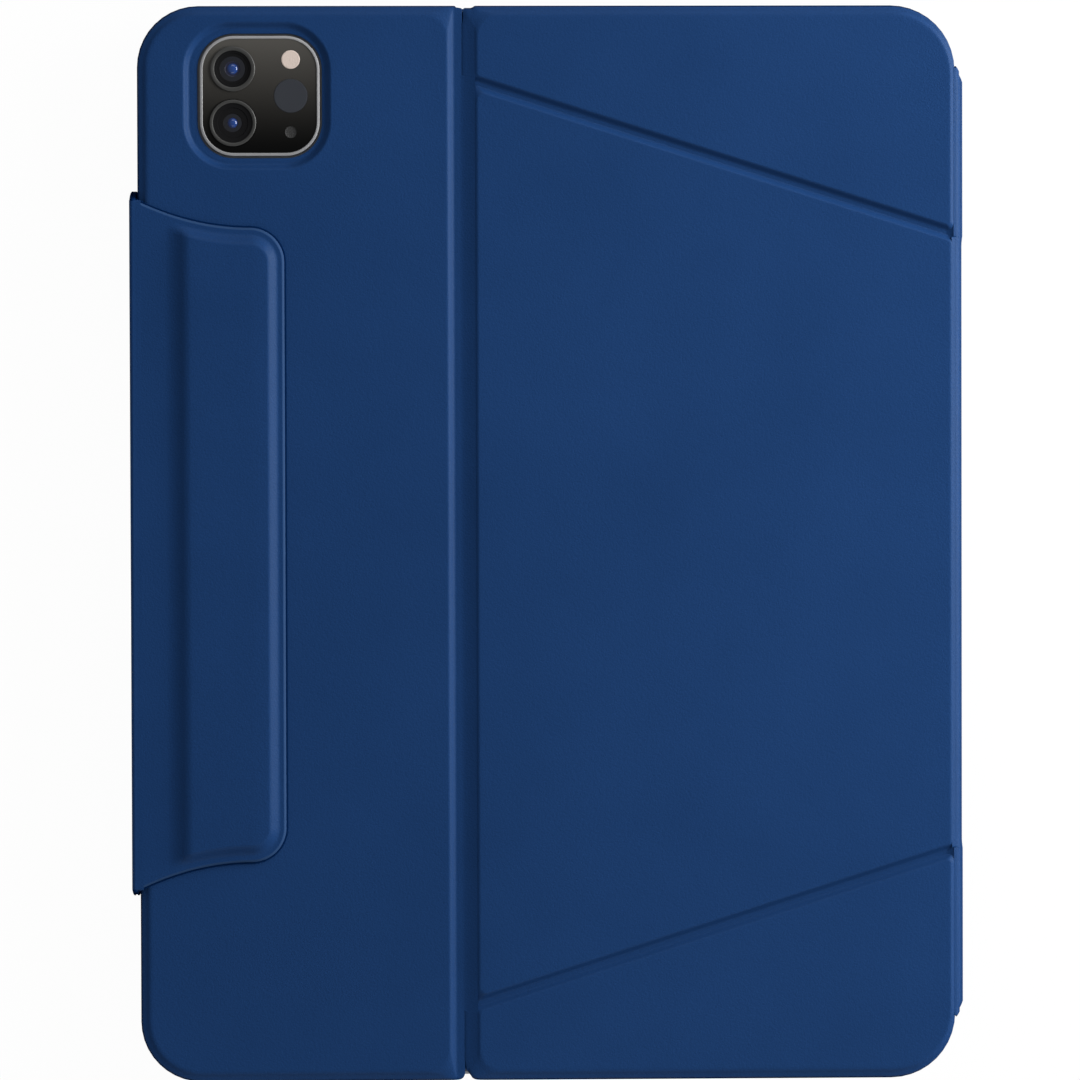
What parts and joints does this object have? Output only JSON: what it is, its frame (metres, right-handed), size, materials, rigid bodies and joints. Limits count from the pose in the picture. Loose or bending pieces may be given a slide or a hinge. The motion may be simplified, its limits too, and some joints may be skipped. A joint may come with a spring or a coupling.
{
  "type": "tablet keyboard case",
  "caption": "Folio keyboard case closed round a slim tablet: creased back panels, spine, closing flap with magnets, and a keyboard with trackpad inside.",
  "frame": {"origin": "centre of the closed case's footprint, on the face that it rests on", "axes": "+Y along the long side towards the camera end, +X from the closing flap to the spine, +Z from the resting face up to the back panels"},
  "size_m": [0.1938, 0.25, 0.02],
  "materials": {
    "outer_skin": "soft-grained navy PU leather, matte",
    "lining": "brushed microfibre, slate grey-blue",
    "board": "pressed fibre board",
    "magnet": "nickel-plated magnet",
    "deck": "fine satin moulded plastic",
    "key": "soft satin key cap, blank",
    "silicone": "translucent silicone rubber",
    "link_plastic": "white acetal",
    "circuit": "green solder mask",
    "battery": "foil pouch",
    "steel": "plain bright steel",
    "light_pipe": "clear light pipe",
    "rubber_pad": "black rubber",
    "trackpad_face": "smooth satin face",
    "switch_cap": "light grey plastic",
    "tablet_metal": "bead-blasted anodised grey",
    "tablet_front": "black display glass, screen off",
    "trim_metal": "polished chamfered trim",
    "camera_black": "black glass camera plate",
    "lens_ring": "dark anodised ring",
    "lens_glass": "coated lens glass",
    "flash_white": "cream diffuser",
    "sensor_dark": "dark smoked window"
  },
  "bodies": {
    "keyboard_cover": {"front_skin": "outer_skin", "front_board": "board", "front_lining": "lining", "dock_bar": "deck", "dock_magnets": "magnet", "keyboard_base": "deck", "keyboard_deck": "deck", "dome_sheet": "silicone", "scissor_links": "link_plastic", "circuit_board": "circuit", "battery_cells": "battery", "usb_port": "steel", "status_lights": "light_pipe", "bumpers": "rubber_pad", "keyboard_screws": "steel", "trackpad_switch": "steel"},
    "spine": {"spine_skin": "outer_skin", "spine_board": "board"},
    "stand_panel": {"stand_panel_skin": "outer_skin", "stand_panel_board": "board", "stand_panel_lining": "lining", "stand_panel_magnets": "magnet", "tablet_shell": "tablet_metal", "tablet_glass": "tablet_front", "camera_trim": "trim_metal", "camera_plate": "camera_black", "lens_rings": "lens_ring", "lens_glasses": "lens_glass", "camera_flash": "flash_white", "range_sensor": "sensor_dark", "camera_microphone": "rubber_pad"},
    "camera_panel": {"camera_panel_skin": "outer_skin", "camera_panel_board": "board", "camera_panel_lining": "lining", "camera_panel_magnets": "magnet"},
    "upper_wing": {"upper_wing_skin": "outer_skin", "upper_wing_board": "board", "upper_wing_lining": "lining"},
    "lower_wing": {"lower_wing_skin": "outer_skin", "lower_wing_board": "board", "lower_wing_lining": "lining"},
    "flap_strap": {"flap_strap_skin": "outer_skin"},
    "flap_tab": {"flap_tab_skin": "outer_skin", "flap_tab_plate": "board", "flap_tab_magnets": "magnet", "flap_tab_lining": "lining"},
    "trackpad": {"trackpad": "trackpad_face"},
    "power_switch": {"power_switch": "switch_cap"},
    "space_bar": {"space_bar": "key"},
    "return_key": {"return_key": "key"},
    "backspace_key": {"backspace_key": "key"},
    "left_shift_key": {"left_shift_key": "key"},
    "right_shift_key": {"right_shift_key": "key"},
    "arrow_keys": {"arrow_keys": "key"},
    "modifier_keys": {"modifier_keys": "key"},
    "function_keys": {"function_keys": "key"},
    "number_keys": {"number_keys": "key"},
    "upper_letter_keys": {"upper_letter_keys": "key"},
    "home_letter_keys": {"home_letter_keys": "key"},
    "lower_letter_keys": {"lower_letter_keys": "key"}
  },
  "joints": [
    {"name": "spine_crease", "type": "hinge", "parent": "keyboard_cover", "child": "spine", "pos_m": [0.0961, 0, 0.00075], "axis": [0, 1, 0], "range_deg": [0, 90]},
    {"name": "lid_crease", "type": "hinge", "parent": "spine", "child": "stand_panel", "pos_m": [0.0961, 0, 0.01655], "axis": [0, -1, 0], "range_deg": [-90, 0]},
    {"name": "main_fold", "type": "hinge", "parent": "stand_panel", "child": "camera_panel", "pos_m": [-0.01895, 0, 0.0155], "axis": [0, -1, 0], "range_deg": [-85, 0]},
    {"name": "upper_diagonal_fold", "type": "hinge", "parent": "stand_panel", "child": "upper_wing", "pos_m": [0.03812, 0.08975, 0.0155], "axis": [0.953, -0.303, 0], "range_deg": [0, 60]},
    {"name": "lower_diagonal_fold", "type": "hinge", "parent": "stand_panel", "child": "lower_wing", "pos_m": [0.03812, -0.08975, 0.0155], "axis": [-0.953, -0.303, 0], "range_deg": [0, 60]},
    {"name": "flap_crease", "type": "hinge", "parent": "keyboard_cover", "child": "flap_strap", "pos_m": [-0.0961, 0, 0.00075], "axis": [0, -1, 0], "range_deg": [0, 90]},
    {"name": "tab_crease", "type": "hinge", "parent": "flap_strap", "child": "flap_tab", "pos_m": [-0.0961, 0, 0.0177], "axis": [0, -1, 0], "range_deg": [0, 80]},
    {"name": "trackpad_click", "type": "slide", "parent": "keyboard_cover", "child": "trackpad", "axis": [0, 0, -1], "range_m": [0, 0.0003], "stiffness_N_per_m": 3000},
    {"name": "power_slide", "type": "slide", "parent": "keyboard_cover", "child": "power_switch", "axis": [1, 0, 0], "range_m": [0, 0.0024]},
    {"name": "space_bar_press", "type": "slide", "parent": "keyboard_cover", "child": "space_bar", "axis": [0, 0, -1], "range_m": [0, 0.0012], "stiffness_N_per_m": 500},
    {"name": "return_key_press", "type": "slide", "parent": "keyboard_cover", "child": "return_key", "axis": [0, 0, -1], "range_m": [0, 0.0012], "stiffness_N_per_m": 500},
    {"name": "backspace_key_press", "type": "slide", "parent": "keyboard_cover", "child": "backspace_key", "axis": [0, 0, -1], "range_m": [0, 0.0012], "stiffness_N_per_m": 500},
    {"name": "left_shift_key_press", "type": "slide", "parent": "keyboard_cover", "child": "left_shift_key", "axis": [0, 0, -1], "range_m": [0, 0.0012], "stiffness_N_per_m": 500},
    {"name": "right_shift_key_press", "type": "slide", "parent": "keyboard_cover", "child": "right_shift_key", "axis": [0, 0, -1], "range_m": [0, 0.0012], "stiffness_N_per_m": 500},
    {"name": "arrow_keys_press", "type": "slide", "parent": "keyboard_cover", "child": "arrow_keys", "axis": [0, 0, -1], "range_m": [0, 0.0012], "stiffness_N_per_m": 2000},
    {"name": "modifier_keys_press", "type": "slide", "parent": "keyboard_cover", "child": "modifier_keys", "axis": [0, 0, -1], "range_m": [0, 0.0012], "stiffness_N_per_m": 4000},
    {"name": "function_keys_press", "type": "slide", "parent": "keyboard_cover", "child": "function_keys", "axis": [0, 0, -1], "range_m": [0, 0.0012], "stiffness_N_per_m": 7000},
    {"name": "number_keys_press", "type": "slide", "parent": "keyboard_cover", "child": "number_keys", "axis": [0, 0, -1], "range_m": [0, 0.0012], "stiffness_N_per_m": 6500},
    {"name": "upper_letter_keys_press", "type": "slide", "parent": "keyboard_cover", "child": "upper_letter_keys", "axis": [0, 0, -1], "range_m": [0, 0.0012], "stiffness_N_per_m": 6500},
    {"name": "home_letter_keys_press", "type": "slide", "parent": "keyboard_cover", "child": "home_letter_keys", "axis": [0, 0, -1], "range_m": [0, 0.0012], "stiffness_N_per_m": 5500},
    {"name": "lower_letter_keys_press", "type": "slide", "parent": "keyboard_cover", "child": "lower_letter_keys", "axis": [0, 0, -1], "range_m": [0, 0.0012], "stiffness_N_per_m": 5000}
  ]
}
